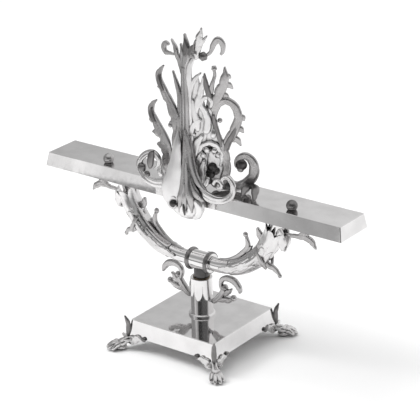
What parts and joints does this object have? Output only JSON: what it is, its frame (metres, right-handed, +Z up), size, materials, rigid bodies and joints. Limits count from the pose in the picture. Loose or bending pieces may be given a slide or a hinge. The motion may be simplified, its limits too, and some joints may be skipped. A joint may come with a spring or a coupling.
{
  "type": "tabletop lectern",
  "caption": "Silver-plated tabletop book rest: scrolled arms on a swivelling, tilting column carry a flat ledge and a leafy crest, over a square claw-footed base.",
  "frame": {"origin": "on the table, under the column's axis", "axes": "+X along the ledge, -Y the ornamental front, +Y the reader's side, +Z up"},
  "size_m": [0.4, 0.162, 0.3802],
  "materials": {
    "sheet_silver": "polished, lightly handled silver plate",
    "cast_silver": "polished casting with darker recesses",
    "steel": "plain turned steel",
    "bearing_bronze": "plain turned bronze"
  },
  "bodies": {
    "base": {"base_shell": "sheet_silver", "base_bottom_plate": "sheet_silver", "foot_front_left": "cast_silver", "foot_front_right": "cast_silver", "foot_rear_right": "cast_silver", "foot_rear_left": "cast_silver", "foot_screws": "steel", "column_tube": "sheet_silver", "column_foot_ring": "sheet_silver", "column_foot_plug": "sheet_silver", "column_washer": "steel", "column_bolt": "steel", "column_cap": "sheet_silver", "column_scroll_left": "cast_silver", "column_scroll_right": "cast_silver", "scroll_studs": "steel"},
    "turret": {"thrust_washer": "bearing_bronze", "neck": "sheet_silver", "pin_nut": "steel", "collar": "sheet_silver", "collar_rings": "sheet_silver", "collar_bushes": "bearing_bronze", "tilt_screw": "steel"},
    "head": {"tilt_shaft": "sheet_silver", "arm_left": "sheet_silver", "arm_right": "sheet_silver", "arm_calyx_left": "cast_silver", "arm_calyx_right": "cast_silver", "arm_sheath_left": "cast_silver", "arm_sheath_right": "cast_silver", "arm_tendril_left": "cast_silver", "arm_tendril_right": "cast_silver", "arm_outer_leaf_left": "cast_silver", "arm_outer_leaf_right": "cast_silver", "arm_flanges": "sheet_silver", "ledge_shell": "sheet_silver", "ledge_underplate": "sheet_silver", "ledge_screws": "steel", "ledge_knob_left": "sheet_silver", "ledge_knob_right": "sheet_silver", "crest_strap": "cast_silver", "crest_screws": "steel", "crest_bulb": "cast_silver", "crest_fan": "cast_silver", "crest_spine": "cast_silver", "crest_wing_left": "cast_silver", "crest_leaf_lower_left": "cast_silver", "crest_leaf_upper_left": "cast_silver", "crest_wing_right": "cast_silver", "crest_spray_top": "cast_silver", "crest_volute_left": "cast_silver", "crest_band_right": "cast_silver", "crest_stem_right": "cast_silver", "crest_curl_right": "cast_silver", "crest_loop_right": "cast_silver", "crest_leaf_upper_right": "cast_silver", "crest_leaf_top": "cast_silver", "crest_curl_top_right": "cast_silver", "crest_prong_leaf": "cast_silver"}
  },
  "joints": [
    {"name": "head_swivel", "type": "hinge", "parent": "base", "child": "turret", "pos_m": [0, 0, 0.08], "axis": [0, 0, 1], "continuous": true},
    {"name": "head_tilt", "type": "hinge", "parent": "turret", "child": "head", "pos_m": [0, 0, 0.101], "axis": [1, 0, 0], "range_deg": [-10, 30]}
  ]
}
